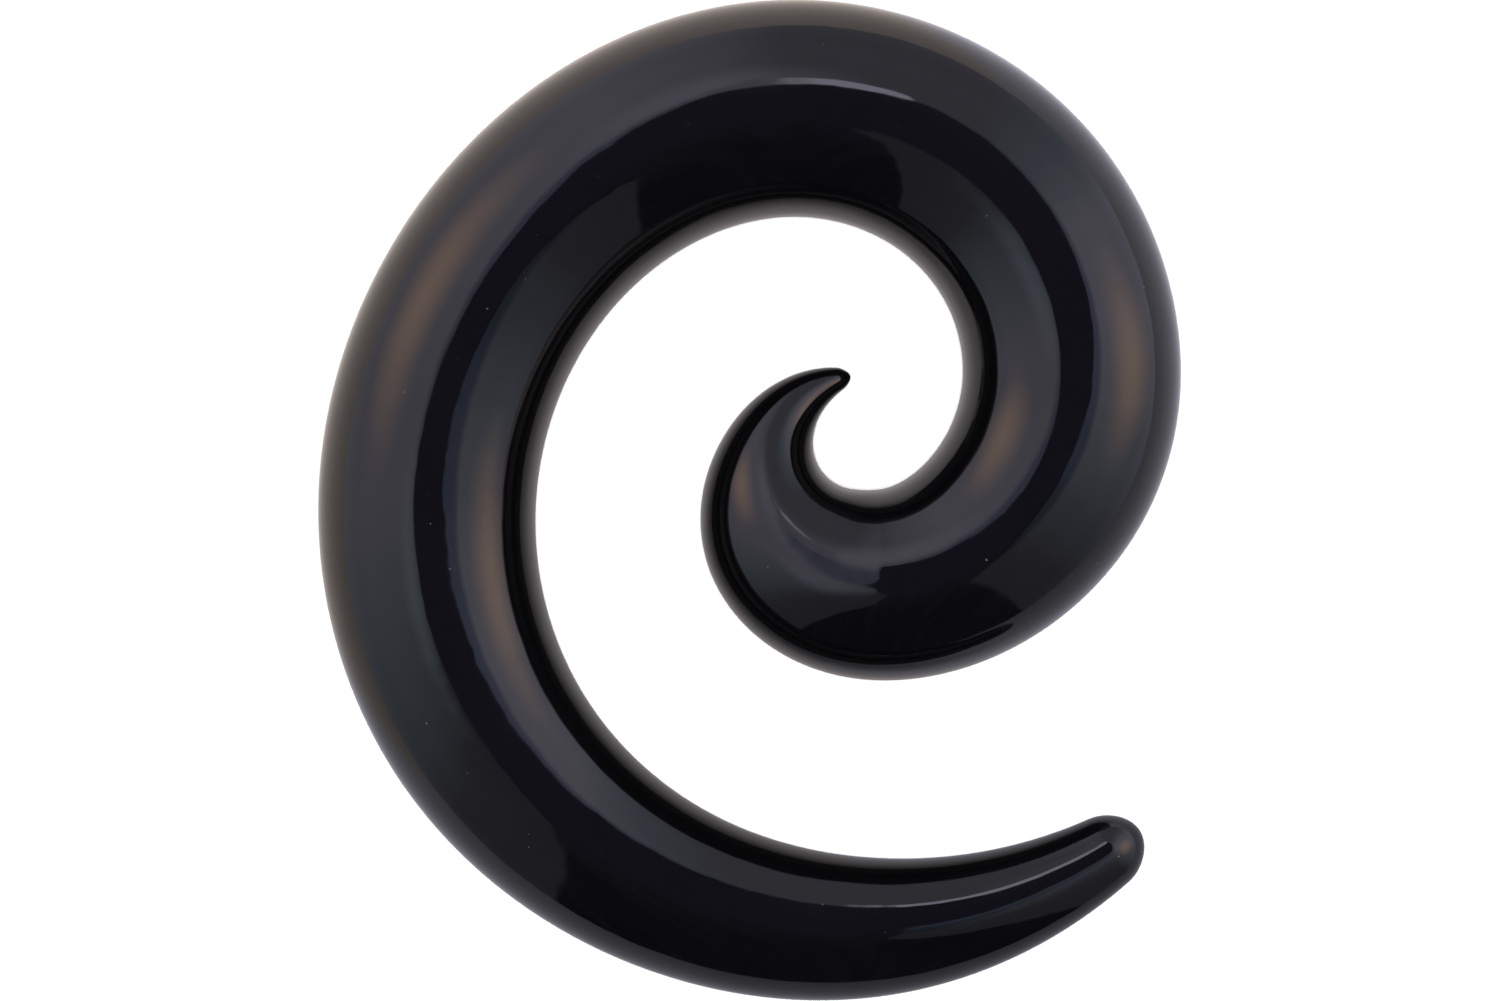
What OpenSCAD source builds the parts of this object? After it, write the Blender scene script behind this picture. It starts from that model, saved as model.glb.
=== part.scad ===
// Spiral ear taper, lying on its side.
// One solid rod of round section, bent into a spiral of about a turn and a half. It keeps its
// full gauge along the stretch that the lobe wears, thins slowly to a blunt round nose at the
// outer end, and narrows quickly to the small curled hook at the inner end, where the tight bend
// leaves its section a little oval.
// The rod's middle line lies in one plane, half a gauge above the surface that the spiral lies on.

/* [Rod] */
// Gauge: thickness of the rod along the stretch that the lobe wears
gauge = 10; // [8:0.5:10.5]
// Length of the round nose at the outer end, the end that goes into the lobe first
tail_nose = 1.7; // [1.2:0.1:2.4]
// Length of the round nose at the point of the hook
hook_nose = 0.5; // [0.3:0.05:0.8]

/* [Spiral] */
// How far the middle line runs from the eye at the widest stretch of the outer coil
coil_reach = 23.6; // [23:0.1:27]

/* [Smoothness] */
// Sides of the round section
sides = 32; // [24:4:40]
// Turn about the eye from one ring of the rod to the next, in degrees
ring_turn = 5; // [4:1:8]
// Rings along each nose
nose_rings = 4; // [3:1:6]

/* [Hidden] */

// Sections along the rod, from the point of the hook to the outer end, a row every 27 degrees.
// Turn is counted anticlockwise about the eye from +X, in degrees, on past a full turn.
// Reach, from the eye to the middle line, is in percent of coil_reach.
// Thickness, across the rod in the spiral's plane, and depth, square to that plane, are in
// percent of the gauge. They differ most round the hook.
REACH = 1;
THICK = 2;
DEPTH = 3;
SECTIONS = [
    // turn, reach, thick, depth
    [120, 9.9, 5, 5],
    [147, 12.7, 15.5, 22],
    [174, 17.7, 28.5, 37.5],
    [201, 23.8, 48.5, 65],
    [228, 29.4, 80, 84],
    [255, 32.4, 87, 96],
    [282, 31.9, 89, 100],
    [309, 31.6, 94, 100],
    [336, 33.1, 98.5, 100],
    [363, 36.5, 101, 100],
    [390, 41.2, 100, 100],
    [417, 48.3, 100, 100],
    [444, 56.6, 100, 100],
    [471, 65.1, 100, 100],
    [498, 72.7, 100, 100],
    [525, 81, 100, 100],
    [552, 90.9, 101.5, 100],
    [579, 98.8, 94.5, 94.5],
    [606, 100.6, 77.5, 77.5],
    [633, 99, 64.5, 64.5],
    [660, 94.7, 32, 32]
];
table_start = SECTIONS[0][0];
row_step = SECTIONS[1][0] - table_start;
last_row = len(SECTIONS) - 1;
// Turns at which the two noses begin
hook_turn = 134;
tail_turn = 658;
ring_steps = ceil((tail_turn - hook_turn) / ring_turn);
// Turn either side of a section over which its heading and its taper are read
near = 0.5;

// A row's value in a column, carried on in a straight line past either end of the table
function row_value(row, column) =
    row < 0 ? 2 * SECTIONS[0][column] - SECTIONS[1][column]
    : row > last_row ? 2 * SECTIONS[last_row][column] - SECTIONS[last_row - 1][column]
    : SECTIONS[row][column];

// A column at any turn: a cubic B-spline along the rows, so the bend and the taper of the rod
// never change suddenly. It rounds off a peak a little, as a bent rod does.
function section(turn, column) =
    let (
        place = (turn - table_start) / row_step,
        row = floor(place),
        u = place - row,
        weights = [
            pow(1 - u, 3),
            3 * pow(u, 3) - 6 * pow(u, 2) + 4,
            -3 * pow(u, 3) + 3 * pow(u, 2) + 3 * u + 1,
            pow(u, 3)
        ] / 6
    )
    weights * [for (i = [-1:2]) row_value(row + i, column)];

// Half the thickness and half the depth
function halves(turn) = gauge / 2 * [section(turn, THICK), section(turn, DEPTH)] / 100;
function middle(turn) = coil_reach * section(turn, REACH) / 100 * [cos(turn), sin(turn)];
function run(turn) = middle(turn + near) - middle(turn - near);
function heading(turn) = atan2(run(turn).y, run(turn).x);
function along(turn) = run(turn) / norm(run(turn));

// A ring is its middle, its heading and its half thickness and half depth
function body_ring(turn) = [middle(turn), heading(turn), halves(turn)];

// A ring of the nose that leaves the rod at a turn: side is 1 forwards and -1 backwards, and
// the angle goes from 0 where the nose begins to 90 at its tip
function nose_ring(turn, side, nose, angle) =
    let (
        taper = (halves(turn + near) - halves(turn - near)) / norm(run(turn)),
        out = side * nose * sin(angle)
    )
    [middle(turn) + out * along(turn), heading(turn), (halves(turn) + taper * out) * cos(angle)];

nose_angles = [for (i = [1:nose_rings]) 90 * i / (nose_rings + 1)];
rings = concat(
    [for (i = [nose_rings - 1:-1:0]) nose_ring(hook_turn, -1, hook_nose, nose_angles[i])],
    [for (i = [0:ring_steps]) body_ring(hook_turn + (tail_turn - hook_turn) * i / ring_steps)],
    [for (angle = nose_angles) nose_ring(tail_turn, 1, tail_nose, angle)]
);
hook_tip = middle(hook_turn) - hook_nose * along(hook_turn);
tail_tip = middle(tail_turn) + tail_nose * along(tail_turn);

// A point of a ring's edge: 0 is the side away from the eye, and 90 is the top
function edge(ring, angle) =
    let (side_step = ring[2].x * cos(angle))
    [
        ring[0].x + side_step * sin(ring[1]),
        ring[0].y - side_step * cos(ring[1]),
        ring[2].y * sin(angle)
    ];

skin = concat(
    [[hook_tip.x, hook_tip.y, 0]],
    [for (ring = rings, i = [0:sides - 1]) edge(ring, 360 * i / sides)],
    [[tail_tip.x, tail_tip.y, 0]]
);
tail_start = len(skin) - 1 - sides;

// Faces between neighbouring rings, and the fans that close the two tips
wall_faces = [
    for (k = [0:len(rings) - 2], i = [0:sides - 1])
        let (
            a = 1 + k * sides + i,
            b = 1 + k * sides + (i + 1) % sides
        )
        each [[a, b, b + sides], [a, b + sides, a + sides]]
];
hook_faces = [for (i = [0:sides - 1]) [0, 1 + (i + 1) % sides, 1 + i]];
tail_faces = [
    for (i = [0:sides - 1]) [tail_start + i, tail_start + (i + 1) % sides, len(skin) - 1]
];

// The spiral stands over the middle of its own outline
outline_x = [for (point = skin) point.x];
outline_y = [for (point = skin) point.y];
centre_x = (min(outline_x) + max(outline_x)) / 2;
centre_y = (min(outline_y) + max(outline_y)) / 2;

module spiral_taper() {
    color("#1a191e")
        translate([-centre_x, -centre_y, gauge / 2])
            polyhedron(skin, concat(hook_faces, wall_faces, tail_faces), convexity = 4);
}

spiral_taper();
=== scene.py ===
from math import atan2, ceil, cos, floor, pi, radians, sin

import bmesh
import bpy
from bpy.props import FloatProperty, FloatVectorProperty, IntProperty, PointerProperty
from mathutils import Matrix, Vector


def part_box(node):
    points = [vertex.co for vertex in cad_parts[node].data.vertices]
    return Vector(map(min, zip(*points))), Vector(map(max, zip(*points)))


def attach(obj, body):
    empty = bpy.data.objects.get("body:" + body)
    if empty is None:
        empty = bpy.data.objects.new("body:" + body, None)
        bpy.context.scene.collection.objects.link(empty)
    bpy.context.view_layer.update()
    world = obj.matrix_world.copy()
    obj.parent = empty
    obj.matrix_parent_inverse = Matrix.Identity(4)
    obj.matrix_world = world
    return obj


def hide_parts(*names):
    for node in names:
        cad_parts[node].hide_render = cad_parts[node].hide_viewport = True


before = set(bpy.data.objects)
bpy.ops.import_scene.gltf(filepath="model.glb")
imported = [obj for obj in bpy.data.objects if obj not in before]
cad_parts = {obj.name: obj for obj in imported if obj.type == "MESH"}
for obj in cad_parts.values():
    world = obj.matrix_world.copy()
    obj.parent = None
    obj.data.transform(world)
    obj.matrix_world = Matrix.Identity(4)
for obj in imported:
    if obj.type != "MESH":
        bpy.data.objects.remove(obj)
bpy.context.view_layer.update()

bl_info = {
    "name": "Spiral Ear Taper",
    "version": (1, 0, 0),
    "blender": (4, 5, 0),
    "location": "3D View > Sidebar > Taper",
    "description": "A gloss black spiral ear taper, and the light tent that it lies in",
    "category": "Object",
}

CAD_NODE = "spiral_taper"
CAD_LOW, CAD_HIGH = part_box(CAD_NODE)
MM = 0.001

# Sections along the rod, from the point of the hook to the lead end, a row every 27 degrees: the
# turn anticlockwise about the spiral's eye from +X in degrees, the reach from the eye to the middle
# line in percent of the widest reach, and the thickness across the rod in the spiral's plane and
# the depth square to it, both in percent of the gauge. The tight bend has left the hook a little
# deeper than it is thick.
SECTIONS = (
    (120, 9.9, 5, 5),
    (147, 12.7, 15.5, 22),
    (174, 17.7, 28.5, 37.5),
    (201, 23.8, 48.5, 65),
    (228, 29.4, 80, 84),
    (255, 32.4, 87, 96),
    (282, 31.9, 89, 100),
    (309, 31.6, 94, 100),
    (336, 33.1, 98.5, 100),
    (363, 36.5, 101, 100),
    (390, 41.2, 100, 100),
    (417, 48.3, 100, 100),
    (444, 56.6, 100, 100),
    (471, 65.1, 100, 100),
    (498, 72.7, 100, 100),
    (525, 81, 100, 100),
    (552, 90.9, 101.5, 100),
    (579, 98.8, 94.5, 94.5),
    (606, 100.6, 77.5, 77.5),
    (633, 99, 64.5, 64.5),
    (660, 94.7, 32, 32),
)
REACH, THICK, DEPTH = 1, 2, 3
HOOK_TURN, TAIL_TURN = 134, 658     # where the two round noses begin
NEAR = 0.5                          # turn either side of a section over which its slope is read
# The faint shoulder where the hook's taper was begun: the turn it stands at, the degrees of turn
# over which the hook falls away below it, and how far it falls in metres
SHOULDER = (269, 36, 0.13 * MM)
# How far a side of the swept rod may be from the frame's solid, to which it is then fitted
FIT_LIMIT = 0.1 * MM

# How bright the tent's cloth is round its wall: azimuth in degrees, brightness where white paper
# is 1, and how far its tint goes from neutral to cool. The two lamps stand behind the bright
# stretches, and the dim one is the cloth that hangs either side of the open front.
TENT_WALL = (
    (-180, 1.26, 0.0),
    (-163, 0.98, 0.8),
    (-148, 0.69, 1.0),
    (-136, 0.36, 0.2),
    (-120, 0.28, 0.0),
    (-50, 0.29, 0.0),
    (-40, 0.36, 0.2),
    (-28, 0.66, 0.6),
    (-15, 1.08, 0.8),
    (0, 1.45, 0.2),
    (14, 1.75, 0.0),
    (32, 1.68, 0.0),
    (44, 1.08, 1.0),
    (58, 0.72, 0.0),
    (90, 0.75, 0.0),
    (101, 1.15, 0.0),
    (118, 1.50, 0.0),
    (140, 1.42, 0.0),
    (165, 1.28, 0.0),
    (180, 1.26, 0.0),
)

# The tent's openings as seen from the taper, each with straight edges: the direction that an edge
# faces and how far out it lies, both in degrees of the chart that tent_cloth makes.
OPEN_FRONT = ((146.6, -5.8), (41.2, -3.7))
OPEN_NECK = ((0, 14.0), (180, 3.5), (90, 4.0), (-90, 22.0))
ROOF_SLIT = ((0, 12.8), (157, 16.0), (90, 33.2), (-80, -25.0), (-55, -17.6))

# The round opening above and the rim of dimmer cloth round it: the centre on the chart, and the
# distances from it between which each fades out, in degrees
OPEN_ABOVE = ((8.5, 13.5), 17.2, 18.2)
CLOTH_RIM = ((8, 8), 20, 26)
RIM_SHADE = (0.45, 0.50, 0.62)      # what the rim keeps of the cloth's red, green and blue

# Round glows on the cloth, from the two lamps and from daylight in two fainter places: the centre
# and the radius on the chart in degrees, the tint, and how bright
TENT_GLOWS = (
    ((-51, 28), 28, "lamp", 1.65),
    ((62, 6), 27, "lamp", 1.65),
    ((-6, 35), 18, "cloth", 0.55),
    ((-21, -8), 13, "cloth_cool", 0.40),
)

# Daylight over the roof: the middle of its plane and half its side in metres, how bright it is at
# the dim roof and in the open, and the places in x between which it goes from one to the other
DAYLIGHT_AT = (0, 0.52, 0.9)
DAYLIGHT_HALF = 0.25
DAYLIGHT = (1.15, 3.9)
DAYLIGHT_EDGE = (-30 * MM, 45 * MM)

FLOOR_HALF = 1.5                    # half the side of the paper floor, in metres
TENT_SIDES = 180
OVERHEAD_POWER = 4.5                # watts
OVERHEAD_RADIUS = 12 * MM
CAMERA_SHIFT = (0.02 * MM, -0.02 * MM)
CAMERA_CLIP = (0.01, 10)            # metres
SENSOR_WIDTH = 36                   # millimetres, as Blender counts a sensor
ROOM_GLOW = (0.8, 0.8, 0.8, 1)      # what lights the paper from all round
ROOM_SEEN = (1.2, 1.2, 1.2, 1)      # what the camera sees past the paper


def linear(code):
    """An sRGB hex colour as linear red, green and blue."""
    values = [int(code[i:i + 2], 16) / 255 for i in (1, 3, 5)]
    return [v / 12.92 if v <= 0.04045 else ((v + 0.055) / 1.055) ** 2.4 for v in values]


def rgba(colour, gain=1.0):
    return (*(gain * channel for channel in colour[:3]), 1)


def level_way(angle):
    """The level unit vector at an angle in degrees."""
    return cos(radians(angle)), sin(radians(angle)), 0


def add_node(tree, kind, settings=None, inputs=None):
    """Adds a node, sets its settings, and fills its inputs with values, sockets or nodes.

    A node given as an input stands for the first of its outputs that its settings leave in use.
    """
    node = tree.nodes.new(kind)
    for name, value in (settings or {}).items():
        setattr(node, name, value)
    for name, value in (inputs or {}).items():
        if isinstance(value, bpy.types.Node):
            value = next(socket for socket in value.outputs if socket.enabled)
        if isinstance(value, bpy.types.NodeSocket):
            tree.links.new(value, node.inputs[name])
        else:
            node.inputs[name].default_value = value
    return node


def new_tree(owner):
    """An empty node tree on a material or world."""
    owner.use_nodes = True
    owner.node_tree.nodes.clear()
    return owner.node_tree


class TaperShape(bpy.types.PropertyGroup):
    gauge: FloatProperty(
        name="Gauge", description="Thickness of the rod where the lobe wears it",
        default=CAD_HIGH.z - CAD_LOW.z, unit="LENGTH", precision=4)
    coil_reach: FloatProperty(
        name="Coil reach", description="From the eye to the middle line at the widest stretch",
        default=23.6 * MM, unit="LENGTH", precision=4)
    tail_nose: FloatProperty(
        name="Lead nose", description="Length of the round nose that goes into the lobe first",
        default=1.7 * MM, unit="LENGTH", precision=4)
    hook_nose: FloatProperty(
        name="Hook nose", description="Length of the round nose at the point of the hook",
        default=0.5 * MM, unit="LENGTH", precision=5)
    sides: IntProperty(
        name="Sides", description="Sides of the rod's section", default=96, min=24, max=128)
    ring_turn: FloatProperty(
        name="Ring turn", description="Turn about the eye from one ring to the next",
        default=radians(1.25), subtype="ANGLE")
    nose_rings: IntProperty(
        name="Nose rings", description="Rings along each nose", default=14, min=3, max=24)


class TaperFinish(bpy.types.PropertyGroup):
    acrylic: FloatVectorProperty(
        name="Acrylic", description="Colour of the black acrylic under its gloss",
        default=linear("#030304"), subtype="COLOR")
    acrylic_worn: FloatVectorProperty(
        name="Thin polish", description="Colour where the polish is thinner",
        default=linear("#060607"), subtype="COLOR")
    dust: FloatVectorProperty(
        name="Dust", description="Colour of the specks of dust",
        default=linear("#8d8a86"), subtype="COLOR")
    gloss: FloatProperty(
        name="Roughness", description="Roughness of the buffed surface",
        default=0.05, min=0, max=1, subtype="FACTOR")
    ripple: FloatProperty(
        name="Ripple", description="From one buffing ripple to the next",
        default=3.2 * MM, unit="LENGTH", precision=4)
    ripple_height: FloatProperty(
        name="Ripple height", description="Height of the buffing ripples",
        default=0.03 * MM, unit="LENGTH", precision=6)
    speck: FloatProperty(
        name="Speck spacing", description="From one place for a speck of dust to the next",
        default=0.9 * MM, unit="LENGTH", precision=4)


class TaperStage(bpy.types.PropertyGroup):
    paper: FloatVectorProperty(
        name="Paper", description="Colour of the white paper that the taper lies on",
        default=linear("#f4f4f4"), subtype="COLOR")
    cloth: FloatVectorProperty(
        name="Cloth", description="Neutral tint of the tent's lit cloth",
        default=linear("#ebe8fe"), subtype="COLOR")
    cloth_cool: FloatVectorProperty(
        name="Cool cloth", description="Tint of the cloth where daylight reaches it",
        default=linear("#dceafe"), subtype="COLOR")
    lamp: FloatVectorProperty(
        name="Lamp", description="Tint of the two lamps behind the cloth",
        default=linear("#ffc27a"), subtype="COLOR")
    room: FloatVectorProperty(
        name="Room", description="Dark room seen through the tent's openings",
        default=linear("#4f4a64"), subtype="COLOR")
    tent_radius: FloatProperty(
        name="Tent radius", description="Radius of the tent's wall",
        default=100 * MM, unit="LENGTH")
    tent_height: FloatProperty(
        name="Tent height", description="Height of the tent's wall",
        default=450 * MM, unit="LENGTH")
    camera_distance: FloatProperty(
        name="Camera distance", description="From the rod's middle line up to the camera",
        default=300 * MM, unit="LENGTH")
    view_width: FloatProperty(
        name="View width", description="Width of the view at the rod's middle line",
        default=69.12 * MM, unit="LENGTH", precision=4)


def row_value(row, column):
    """A row's value, carried on in a straight line past either end of the table."""
    last = len(SECTIONS) - 1
    if row < 0:
        return 2 * SECTIONS[0][column] - SECTIONS[1][column]
    if row > last:
        return 2 * SECTIONS[last][column] - SECTIONS[last - 1][column]
    return SECTIONS[row][column]


def section(turn, column):
    """A column at any turn: a cubic B-spline along the rows, so the bend never changes suddenly."""
    place = (turn - SECTIONS[0][0]) / (SECTIONS[1][0] - SECTIONS[0][0])
    row = floor(place)
    u = place - row
    weights = (
        (1 - u) ** 3,
        3 * u ** 3 - 6 * u ** 2 + 4,
        -3 * u ** 3 + 3 * u ** 2 + 3 * u + 1,
        u ** 3,
    )
    return sum(w * row_value(row + i - 1, column) for i, w in enumerate(weights)) / 6


def rod_rings(shape):
    """Each ring's middle, heading, and half thickness and depth, hook first, and the two tips."""
    def middle(turn):
        reach = shape.coil_reach * section(turn, REACH) / 100
        return Vector((cos(radians(turn)), sin(radians(turn)))) * reach

    def halves(turn):
        half = Vector((section(turn, THICK), section(turn, DEPTH))) * shape.gauge / 2 / 100
        start, length, fall = SHOULDER
        past = min(max((start - turn) / length, 0), 1)
        return half - Vector((0, fall * past * (2 - past)))

    def run(turn):
        return middle(turn + NEAR) - middle(turn - NEAR)

    def nose(turn, side, length, angle):
        taper = (halves(turn + NEAR) - halves(turn - NEAR)) / run(turn).length
        out = side * length * sin(angle)
        place = middle(turn) + run(turn).normalized() * out
        return place, atan2(run(turn).y, run(turn).x), (halves(turn) + taper * out) * cos(angle)

    steps = ceil(radians(TAIL_TURN - HOOK_TURN) / shape.ring_turn)
    angles = [pi / 2 * i / (shape.nose_rings + 1) for i in range(1, shape.nose_rings + 1)]
    rings = [nose(HOOK_TURN, -1, shape.hook_nose, angle) for angle in reversed(angles)]
    for i in range(steps + 1):
        turn = HOOK_TURN + (TAIL_TURN - HOOK_TURN) * i / steps
        rings.append((middle(turn), atan2(run(turn).y, run(turn).x), halves(turn)))
    rings += [nose(TAIL_TURN, 1, shape.tail_nose, angle) for angle in angles]
    hook_tip = middle(HOOK_TURN) - run(HOOK_TURN).normalized() * shape.hook_nose
    tail_tip = middle(TAIL_TURN) + run(TAIL_TURN).normalized() * shape.tail_nose
    return rings, hook_tip, tail_tip


def ring_matrix(ring):
    """Takes a unit circle to a ring that stands square to the rod, with its seam underneath."""
    place, heading, halves = ring
    stand = Matrix.Rotation(heading, 4, "Z") @ Matrix.Rotation(pi / 2, 4, "Y")
    size = Matrix.Diagonal((halves.y, halves.x, 1, 1))
    return Matrix.Translation((place.x, place.y, 0)) @ stand @ size


def settle_order(bm, along, around):
    """Puts the skin's corners, edges and faces in order along and round the rod.

    Drawing the rod out leaves them in an order that changes from one run to the next.
    """
    def settle(parts, key):
        rank = {part: i for i, part in enumerate(sorted(parts, key=key))}
        parts.sort(key=lambda part: rank[part])
        parts.index_update()

    settle(bm.verts, lambda v: (v[along], v[around]))
    settle(bm.edges, lambda e: sorted(v.index for v in e.verts))
    settle(bm.faces, lambda f: sorted(v.index for v in f.verts))


def sweep_rod(shape):
    """The rod's skin as a bmesh: a circle drawn out ring by ring, with a UV map along and round."""
    rings, hook_tip, tail_tip = rod_rings(shape)
    bm = bmesh.new()
    around = bm.verts.layers.float.new("around")
    along = bm.verts.layers.float.new("along")
    verts = bmesh.ops.create_circle(
        bm, segments=shape.sides, radius=1, cap_ends=True, cap_tris=True)["verts"]
    centre = min(verts, key=lambda v: v.co.length)
    for v in verts:
        v[around] = atan2(v.co.y, v.co.x) / (2 * pi) % 1
    edges = [e for e in bm.edges if centre not in e.verts]
    bmesh.ops.transform(bm, matrix=ring_matrix(rings[0]), verts=verts)
    length = (rings[0][0] - hook_tip).length
    for v in verts:
        v[along] = length
    centre.co = (hook_tip.x, hook_tip.y, 0)
    centre[along] = 0
    tip = (tail_tip, *rings[-1][1:])
    for before, ring in zip(rings, [*rings[1:], tip]):
        geom = bmesh.ops.extrude_edge_only(bm, edges=edges)["geom"]
        verts = [g for g in geom if isinstance(g, bmesh.types.BMVert)]
        fresh = set(verts)
        edges = [g for g in geom if isinstance(g, bmesh.types.BMEdge) and fresh.issuperset(g.verts)]
        step = ring_matrix(ring) @ ring_matrix(before).inverted()
        bmesh.ops.transform(bm, matrix=step, verts=verts)
        length += (ring[0] - before[0]).length
        for v in verts:
            v[along] = length
    uv = bm.loops.layers.uv.new("along_and_round")
    for face in bm.faces:
        face.smooth = True
        turns = [v[around] for v in face.verts]
        wraps = max(turns) - min(turns) > 0.5
        for loop in face.loops:
            turn = loop.vert[around]
            loop[uv].uv = (loop.vert[along], turn + 1 if wraps and turn < 0.5 else turn)
    bmesh.ops.pointmerge(bm, verts=verts, merge_co=(tail_tip.x, tail_tip.y, 0))
    settle_order(bm, along, around)
    bmesh.ops.recalc_face_normals(bm, faces=bm.faces)
    return bm


def buffed_acrylic(finish):
    """Cast black acrylic, turned, bent hot and buffed on a soft wheel.

    To the eye it is near black with a mirror's gloss: what it mirrors is clear-cut, and the wheel's
    faint ripples make the edges of it waver.
    """
    haze_size = 6 * MM              # from one patch of thinner polish to the next
    polish = (0.8, 1.8)             # times the roughness, at the best and the thinnest polish
    empty = 0.6                     # share of the places for a speck that have none
    speck_radius = (0.02, 0.055)    # in parts of the speck spacing
    speck_cover = 0.2               # how much of the acrylic a speck hides
    material = bpy.data.materials.new("buffed_black_acrylic")
    tree = new_tree(material)
    place = add_node(tree, "ShaderNodeTexCoord").outputs["Object"]
    ripple = add_node(tree, "ShaderNodeTexNoise", None, {
        "Vector": place, "Scale": 1 / finish.ripple, "Detail": 2.0, "Roughness": 0.45})
    bump = add_node(tree, "ShaderNodeBump", None, {
        "Height": ripple, "Distance": finish.ripple_height, "Strength": 1.0})
    haze = add_node(tree, "ShaderNodeTexNoise", None, {
        "Vector": place, "Scale": 1 / haze_size, "Detail": 4.0, "Roughness": 0.6})
    rough = add_node(tree, "ShaderNodeMapRange", None, {
        "Value": haze, "From Min": 0.35, "From Max": 0.75,
        "To Min": finish.gloss * polish[0], "To Max": finish.gloss * polish[1]})
    cells = add_node(tree, "ShaderNodeTexVoronoi", {"feature": "F1"}, {
        "Vector": place, "Scale": 1 / finish.speck, "Randomness": 1.0})
    pick = add_node(tree, "ShaderNodeSeparateColor", None, {"Color": cells.outputs["Color"]})
    chosen = add_node(tree, "ShaderNodeMath", {"operation": "GREATER_THAN"}, {
        0: pick.outputs["Red"], 1: empty})
    size = add_node(tree, "ShaderNodeMapRange", None, {
        "Value": pick.outputs["Green"], "To Min": speck_radius[0], "To Max": speck_radius[1]})
    inside = add_node(tree, "ShaderNodeMath", {"operation": "LESS_THAN"}, {
        0: cells.outputs["Distance"], 1: size})
    speck = add_node(tree, "ShaderNodeMath", {"operation": "MULTIPLY"}, {0: chosen, 1: inside})
    speck = add_node(tree, "ShaderNodeMath", {"operation": "MULTIPLY"}, {
        0: speck, 1: speck_cover})
    body = add_node(tree, "ShaderNodeMix", {"data_type": "RGBA"}, {
        "Factor": haze, "A": rgba(finish.acrylic), "B": rgba(finish.acrylic_worn)})
    colour = add_node(tree, "ShaderNodeMix", {"data_type": "RGBA"}, {
        "Factor": speck, "A": body, "B": rgba(finish.dust)})
    shader = add_node(tree, "ShaderNodeBsdfPrincipled", None, {
        "Base Color": colour, "Roughness": rough, "IOR": 1.49, "Metallic": 0.0, "Normal": bump})
    add_node(tree, "ShaderNodeOutputMaterial", None, {"Surface": shader})
    return material


class TAPER_OT_rod(bpy.types.Operator):
    """Builds the bent rod of the taper as one smooth skin, in buffed black acrylic"""
    bl_idname = "spiral_taper.rod"
    bl_label = "Spiral rod"
    bl_options = {"REGISTER", "UNDO"}

    def execute(self, context):
        bm = sweep_rod(context.scene.taper_shape)
        low = Vector([min(v.co[i] for v in bm.verts) for i in range(3)])
        high = Vector([max(v.co[i] for v in bm.verts) for i in range(3)])
        size, wanted = high - low, CAD_HIGH - CAD_LOW
        if max(abs(size[i] - wanted[i]) for i in range(3)) > FIT_LIMIT:
            raise RuntimeError(f"the rod is {size} m, and the frame's solid is {wanted} m")
        fit = Matrix.Diagonal([wanted[i] / size[i] for i in range(3)]).to_4x4()
        to_frame = Matrix.Translation((CAD_LOW + CAD_HIGH) / 2) @ fit
        bmesh.ops.transform(
            bm, matrix=to_frame @ Matrix.Translation(-(low + high) / 2), verts=bm.verts)
        mesh = bpy.data.meshes.new("spiral_rod")
        bm.to_mesh(mesh)
        bm.free()
        mesh.materials.append(buffed_acrylic(context.scene.taper_finish))
        rod = bpy.data.objects.new("spiral_rod", mesh)
        context.scene.collection.objects.link(rod)
        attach(rod, "root")
        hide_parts(CAD_NODE)
        return {"FINISHED"}


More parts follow.
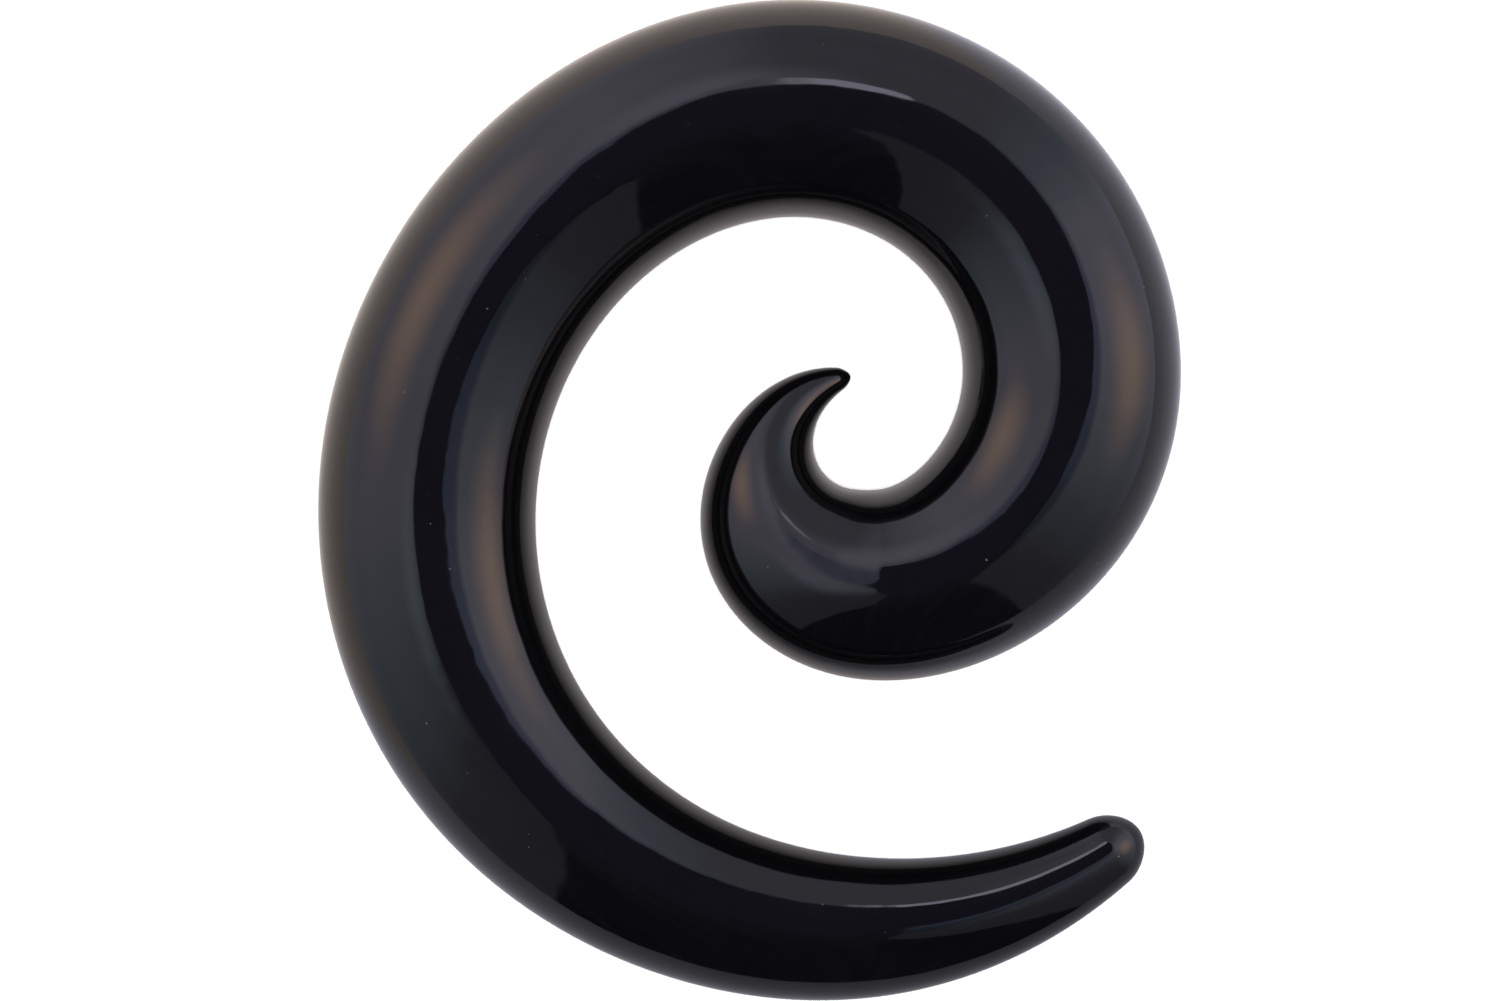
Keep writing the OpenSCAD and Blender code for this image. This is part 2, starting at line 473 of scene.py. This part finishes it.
def white_paper(stage):
    """Matt white paper, lit evenly for the eye.

    What the gloss mirrors of it is a painted glow that stands in for the paper lit in the tent; no
    lamp lights it. Outside the coil this painted light is bright at the back and dim towards the
    open front, and inside the coil it dims from the eye outwards. It holds painted shade close to
    the rod, and painted warm lamp light where the left lamp reaches it and, a little, inside the
    coil.
    """
    # Painted light for the gloss: where the painted glow of the paper is brightest and dimmest
    back, lamp = 105, 138               # where the paper is brightest, and the left lamp, in degrees
    front_glow, back_glow = 0.34, 1.04  # where white paper is 1
    rise = 12 * MM                      # softens the change from front to back near the middle
    eye, eye_reach = (5 * MM, 5 * MM, 0), 22 * MM
    eye_glow, coil_glow = 0.64, 0.36    # at the eye, and eye_reach away from it
    coil_edge = (9 * MM, 18 * MM)       # from inside the coil to outside, from the floor's middle
    # Painted shade: how far round the rod the glow is darkened, and what it keeps where darkest
    shade_reach, shade_least = 4 * MM, 0.2      # the rod's shade, and what is left in its darkest
    # Painted lamp light: where the glow turns warm towards the left lamp, and inside the coil
    lamp_edge = (7 * MM, 14 * MM)       # how far towards the lamp the paper turns warm
    warm_edge = (17 * MM, 12 * MM)      # and how far from the floor's middle, inside the coil
    warm_most = 0.6
    cool_tint, warm_tint = (1.00, 0.985, 1.13, 1), (1.12, 0.98, 0.91, 1)
    material = bpy.data.materials.new("white_paper")
    tree = new_tree(material)
    place = add_node(tree, "ShaderNodeTexCoord").outputs["Object"]
    # Painted light outside the coil: bright at the back, dim towards the open front
    raised = add_node(tree, "ShaderNodeVectorMath", {"operation": "ADD"}, {
        0: place, 1: (0, 0, rise)})
    way = add_node(tree, "ShaderNodeVectorMath", {"operation": "NORMALIZE"}, {0: raised})
    to_back = add_node(tree, "ShaderNodeVectorMath", {"operation": "DOT_PRODUCT"}, {
        0: way, 1: level_way(back)})
    outer = add_node(tree, "ShaderNodeMapRange", None, {
        "Value": to_back, "From Min": -1.0, "From Max": 1.0,
        "To Min": front_glow, "To Max": back_glow})
    # Painted light inside the coil: brightest at the eye, dimmer towards the coil
    to_eye = add_node(tree, "ShaderNodeVectorMath", {"operation": "DISTANCE"}, {
        0: place, 1: eye})
    inner = add_node(tree, "ShaderNodeMapRange", None, {
        "Value": to_eye, "From Min": 0, "From Max": eye_reach,
        "To Min": eye_glow, "To Max": coil_glow})
    away = add_node(tree, "ShaderNodeVectorMath", {"operation": "LENGTH"}, {0: place})
    clear = add_node(tree, "ShaderNodeMapRange", {"interpolation_type": "SMOOTHSTEP"}, {
        "Value": away, "From Min": coil_edge[0], "From Max": coil_edge[1]})
    glow = add_node(tree, "ShaderNodeMix", {"data_type": "FLOAT"}, {
        "Factor": clear, "A": inner, "B": outer})
    # Painted shade: the glow is darkened close to the rod and under it, where less is open above
    open_above = add_node(tree, "ShaderNodeAmbientOcclusion", {"samples": 4}, {
        "Distance": shade_reach}).outputs["AO"]
    shade = add_node(tree, "ShaderNodeMapRange", None, {
        "Value": open_above, "To Min": shade_least, "To Max": 1.0})
    glow = add_node(tree, "ShaderNodeMath", {"operation": "MULTIPLY"}, {0: glow, 1: shade})
    # Painted lamp light: the glow is warm where the left lamp reaches the paper, a little warm inside
    # the coil, and cool elsewhere
    to_lamp = add_node(tree, "ShaderNodeVectorMath", {"operation": "DOT_PRODUCT"}, {
        0: place, 1: level_way(lamp)})
    outside = add_node(tree, "ShaderNodeMapRange", {"interpolation_type": "SMOOTHSTEP"}, {
        "Value": to_lamp, "From Min": lamp_edge[0], "From Max": lamp_edge[1]})
    within = add_node(tree, "ShaderNodeMapRange", {"interpolation_type": "SMOOTHSTEP"}, {
        "Value": away, "From Min": warm_edge[0], "From Max": warm_edge[1], "To Max": warm_most})
    warm = add_node(tree, "ShaderNodeMath", {"operation": "MAXIMUM"}, {0: outside, 1: within})
    tint = add_node(tree, "ShaderNodeMix", {"data_type": "RGBA"}, {
        "Factor": warm, "A": cool_tint, "B": warm_tint})
    # The gloss sees this painted glow in place of the paper lit in the tent; no lamp gives it
    mirrored = add_node(tree, "ShaderNodeEmission", None, {"Color": tint, "Strength": glow})
    seen = add_node(tree, "ShaderNodeBsdfDiffuse", None, {"Color": rgba(stage.paper)})
    ray = add_node(tree, "ShaderNodeLightPath")
    shader = add_node(tree, "ShaderNodeMixShader", None, {
        0: ray.outputs["Is Glossy Ray"], 1: seen, 2: mirrored})
    add_node(tree, "ShaderNodeOutputMaterial", None, {"Surface": shader})
    return material


def straight_opening(tree, chart, edges):
    """A mask on the tent's chart: 1 inside an opening with straight edges, and 0 outside."""
    soft = 0.5      # degrees either side of an edge over which it fades
    mask = 1.0
    for facing, out in edges:
        across = add_node(tree, "ShaderNodeVectorMath", {"operation": "DOT_PRODUCT"}, {
            0: chart, 1: level_way(facing)})
        inside = add_node(tree, "ShaderNodeMapRange", {"interpolation_type": "SMOOTHSTEP"}, {
            "Value": across, "From Min": radians(out - soft), "From Max": radians(out + soft),
            "To Min": 1.0, "To Max": 0.0})
        mask = add_node(tree, "ShaderNodeMath", {"operation": "MULTIPLY"}, {0: mask, 1: inside})
    return mask


def round_patch(tree, chart, centre, inner, outer):
    """A mask on the tent's chart: 1 within inner degrees of a centre, and 0 from outer on."""
    away = add_node(tree, "ShaderNodeVectorMath", {"operation": "DISTANCE"}, {
        0: chart, 1: (radians(centre[0]), radians(centre[1]), 0)})
    return add_node(tree, "ShaderNodeMapRange", {"interpolation_type": "SMOOTHSTEP"}, {
        "Value": away, "From Min": radians(inner), "From Max": radians(outer),
        "To Min": 1.0, "To Max": 0.0})


def tent_cloth(stage):
    """White cloth lit from behind by two lamps, open above and at the front, with a slit in the roof.

    The taper's gloss is all that shows it. Past the openings it glows as the dark room does, and
    the slit is clear, so that what stands over the roof is mirrored through it.
    """
    foot, foot_glow = (60, 80), 0.86    # where the wall dims, in polar angle, and what is left
    room_fade = (8, 40)                 # polar angles over which the room darkens
    room_glow = (0.8, 0.2)              # how much of the room's tint shows at each of them
    streak_width, streak_length = 3, 60     # in degrees of the chart
    streak_most = 0.45                  # of the room's tint, in the brightest streak
    material = bpy.data.materials.new("tent_cloth")
    tree = new_tree(material)
    place = add_node(tree, "ShaderNodeTexCoord").outputs["Object"]
    split = add_node(tree, "ShaderNodeSeparateXYZ", None, {"Vector": place})
    # A chart of the directions seen from the taper, with the polar angle outwards from straight up
    level = add_node(tree, "ShaderNodeVectorMath", {"operation": "MULTIPLY"}, {
        0: place, 1: (1, 1, 0)})
    out = add_node(tree, "ShaderNodeVectorMath", {"operation": "LENGTH"}, {0: level})
    polar = add_node(tree, "ShaderNodeMath", {"operation": "ARCTAN2"}, {
        0: out, 1: split.outputs["Z"]})
    stretch = add_node(tree, "ShaderNodeMath", {"operation": "DIVIDE"}, {0: polar, 1: out})
    chart = add_node(tree, "ShaderNodeVectorMath", {"operation": "SCALE"}, {
        0: level, "Scale": stretch})

    # The wall's own glow round the tent, a little dimmer towards its foot
    azimuth = add_node(tree, "ShaderNodeMath", {"operation": "ARCTAN2"}, {
        0: split.outputs["Y"], 1: split.outputs["X"]})
    way_round = add_node(tree, "ShaderNodeMapRange", None, {
        "Value": azimuth, "From Min": -pi, "From Max": pi})
    ramp = add_node(tree, "ShaderNodeValToRGB", None, {"Fac": way_round})
    stops = ramp.color_ramp.elements
    brightest = max(row[1] for row in TENT_WALL)
    for i, (angle, bright, cool) in enumerate(TENT_WALL):
        at = (angle + 180) / 360
        stop = stops[i] if i < 2 else stops.new(at)     # a new ramp has two stops
        stop.position = at
        tint = Vector(stage.cloth[:]).lerp(Vector(stage.cloth_cool[:]), cool)
        stop.color = rgba(tint, bright / brightest)
    height = add_node(tree, "ShaderNodeMapRange", {"interpolation_type": "SMOOTHSTEP"}, {
        "Value": polar, "From Min": radians(foot[0]), "From Max": radians(foot[1]),
        "To Min": brightest, "To Max": brightest * foot_glow})
    wall = add_node(tree, "ShaderNodeVectorMath", {"operation": "SCALE"}, {
        0: ramp, "Scale": height})

    # The lamps' and the daylight's round glows
    for centre, size, tint, bright in TENT_GLOWS:
        glow = round_patch(tree, chart, centre, 0, size)
        glow = add_node(tree, "ShaderNodeVectorMath", {"operation": "SCALE"}, {
            0: Vector(getattr(stage, tint)) * bright, "Scale": glow})
        wall = add_node(tree, "ShaderNodeVectorMath", {"operation": "ADD"}, {0: wall, 1: glow})

    # The cloth's dimmer and cooler rim round the opening above
    rim = round_patch(tree, chart, *CLOTH_RIM)
    dim = add_node(tree, "ShaderNodeVectorMath", {"operation": "MULTIPLY"}, {
        0: wall, 1: RIM_SHADE})
    lit = add_node(tree, "ShaderNodeMix", {"data_type": "RGBA"}, {
        "Factor": rim, "A": wall, "B": dim})

    # The dark room through the openings, in faint upright streaks and darker lower down
    lower = add_node(tree, "ShaderNodeMapRange", {"interpolation_type": "SMOOTHSTEP"}, {
        "Value": polar, "From Min": radians(room_fade[0]), "From Max": radians(room_fade[1]),
        "To Min": room_glow[0], "To Max": room_glow[1]})
    streaks = add_node(tree, "ShaderNodeVectorMath", {"operation": "MULTIPLY"}, {
        0: chart, 1: (1 / radians(streak_width), 1 / radians(streak_length), 0)})
    streaks = add_node(tree, "ShaderNodeTexNoise", {"noise_dimensions": "2D"}, {
        "Vector": streaks, "Scale": 1.0, "Detail": 2.0, "Roughness": 0.6})
    streaks = add_node(tree, "ShaderNodeMapRange", None, {
        "Value": streaks, "From Min": 0.45, "From Max": 0.8, "To Max": streak_most})
    lower = add_node(tree, "ShaderNodeMath", {"operation": "ADD"}, {0: lower, 1: streaks})
    room = add_node(tree, "ShaderNodeVectorMath", {"operation": "SCALE"}, {
        0: Vector(stage.room[:]), "Scale": lower})
    for mask, seen in (
            (straight_opening(tree, chart, OPEN_FRONT), room),
            (straight_opening(tree, chart, OPEN_NECK), room),
            (round_patch(tree, chart, *OPEN_ABOVE), rgba(stage.room))):
        lit = add_node(tree, "ShaderNodeMix", {"data_type": "RGBA"}, {
            "Factor": mask, "A": lit, "B": seen})
    shader = add_node(tree, "ShaderNodeEmission", None, {"Color": lit, "Strength": 1.0})

    gap = add_node(tree, "ShaderNodeBsdfTransparent")
    shader = add_node(tree, "ShaderNodeMixShader", None, {
        0: straight_opening(tree, chart, ROOF_SLIT), 1: shader, 2: gap})
    add_node(tree, "ShaderNodeOutputMaterial", None, {"Surface": shader})
    return material


def roof_daylight(stage):
    """Daylight high above the tent, with the lit roof beside it: only the roof's slit shows it."""
    material = bpy.data.materials.new("roof_daylight")
    tree = new_tree(material)
    place = add_node(tree, "ShaderNodeTexCoord").outputs["Object"]
    split = add_node(tree, "ShaderNodeSeparateXYZ", None, {"Vector": place})
    open_sky = add_node(tree, "ShaderNodeMapRange", {"interpolation_type": "SMOOTHSTEP"}, {
        "Value": split.outputs["X"], "From Min": DAYLIGHT_EDGE[0], "From Max": DAYLIGHT_EDGE[1]})
    lit = add_node(tree, "ShaderNodeMix", {"data_type": "RGBA"}, {
        "Factor": open_sky, "A": rgba(stage.cloth, DAYLIGHT[0]),
        "B": rgba(stage.cloth, DAYLIGHT[1])})
    shader = add_node(tree, "ShaderNodeEmission", None, {"Color": lit, "Strength": 1.0})
    add_node(tree, "ShaderNodeOutputMaterial", None, {"Surface": shader})
    return material


class TAPER_OT_stage(bpy.types.Operator):
    """Sets white paper, a light tent, soft light from above and the camera round the taper"""
    bl_idname = "spiral_taper.stage"
    bl_label = "Light tent and camera"
    bl_options = {"REGISTER", "UNDO"}

    def execute(self, context):
        scene = context.scene
        stage = scene.taper_stage

        def place(name, data, location=(0, 0, 0)):
            thing = bpy.data.objects.new(name, data)
            thing.location = location
            scene.collection.objects.link(thing)
            return thing

        def spread(name, bm, material, location=(0, 0, 0)):
            mesh = bpy.data.meshes.new(name)
            bm.to_mesh(mesh)
            bm.free()
            mesh.materials.append(material)
            return place(name, mesh, location)

        bm = bmesh.new()
        bmesh.ops.create_grid(bm, x_segments=1, y_segments=1, size=FLOOR_HALF)
        floor_sheet = spread("paper_floor", bm, white_paper(stage))

        bm = bmesh.new()
        bmesh.ops.create_cone(
            bm, cap_ends=False, segments=TENT_SIDES, radius1=stage.tent_radius,
            radius2=stage.tent_radius, depth=stage.tent_height)
        bmesh.ops.translate(bm, vec=(0, 0, stage.tent_height / 2), verts=bm.verts)
        tent = spread("tent_wall", bm, tent_cloth(stage))

        bm = bmesh.new()
        bmesh.ops.create_grid(bm, x_segments=1, y_segments=1, size=DAYLIGHT_HALF)
        sky = spread("roof_daylight", bm, roof_daylight(stage), DAYLIGHT_AT)
        for thing in (tent, sky):
            for kind in ("camera", "diffuse", "transmission", "volume_scatter", "shadow"):
                setattr(thing, f"visible_{kind}", False)

        height = CAD_HIGH.z / 2 + stage.camera_distance
        above = (*CAMERA_SHIFT, height)
        lamp = bpy.data.lights.new("overhead", "POINT")
        lamp.energy = OVERHEAD_POWER
        lamp.shadow_soft_size = OVERHEAD_RADIUS
        place("overhead", lamp, above).visible_glossy = False

        world = bpy.data.worlds.new("pale_room")
        scene.world = world
        tree = new_tree(world)
        ray = add_node(tree, "ShaderNodeLightPath")
        seen = add_node(tree, "ShaderNodeMix", {"data_type": "RGBA"}, {
            "Factor": ray.outputs["Is Camera Ray"], "A": ROOM_GLOW, "B": ROOM_SEEN})
        seen = add_node(tree, "ShaderNodeMix", {"data_type": "RGBA"}, {
            "Factor": ray.outputs["Is Glossy Ray"], "A": seen, "B": rgba(stage.room)})
        background = add_node(tree, "ShaderNodeBackground", None, {"Color": seen})
        add_node(tree, "ShaderNodeOutputWorld", None, {"Surface": background})

        camera = bpy.data.cameras.new("overhead_camera")
        camera.sensor_width = SENSOR_WIDTH
        camera.lens = camera.sensor_width * stage.camera_distance / stage.view_width
        camera.clip_start, camera.clip_end = CAMERA_CLIP
        scene.camera = place("overhead_camera", camera, above)
        scene.view_settings.view_transform = "Standard"
        return {"FINISHED"}


class TAPER_PT_panel(bpy.types.Panel):
    """Lists the taper's sizes, finish and stage"""
    bl_idname = "TAPER_PT_panel"
    bl_label = "Spiral ear taper"
    bl_space_type = "VIEW_3D"
    bl_region_type = "UI"
    bl_category = "Taper"

    def draw(self, context):
        for group, operator in (
                (context.scene.taper_shape, None),
                (context.scene.taper_finish, TAPER_OT_rod.bl_idname),
                (context.scene.taper_stage, TAPER_OT_stage.bl_idname)):
            box = self.layout.box()
            for name in group.__annotations__:
                box.prop(group, name)
            if operator:
                box.operator(operator)


CLASSES = (TaperShape, TaperFinish, TaperStage, TAPER_OT_rod, TAPER_OT_stage, TAPER_PT_panel)


def register():
    for cls in CLASSES:
        bpy.utils.register_class(cls)
    bpy.types.Scene.taper_shape = PointerProperty(type=TaperShape)
    bpy.types.Scene.taper_finish = PointerProperty(type=TaperFinish)
    bpy.types.Scene.taper_stage = PointerProperty(type=TaperStage)


def unregister():
    del bpy.types.Scene.taper_stage
    del bpy.types.Scene.taper_finish
    del bpy.types.Scene.taper_shape
    for cls in reversed(CLASSES):
        bpy.utils.unregister_class(cls)


def main():
    """Builds the taper and its stage."""
    register()
    bpy.ops.spiral_taper.rod()
    bpy.ops.spiral_taper.stage()


if __name__ == "__main__":
    main()
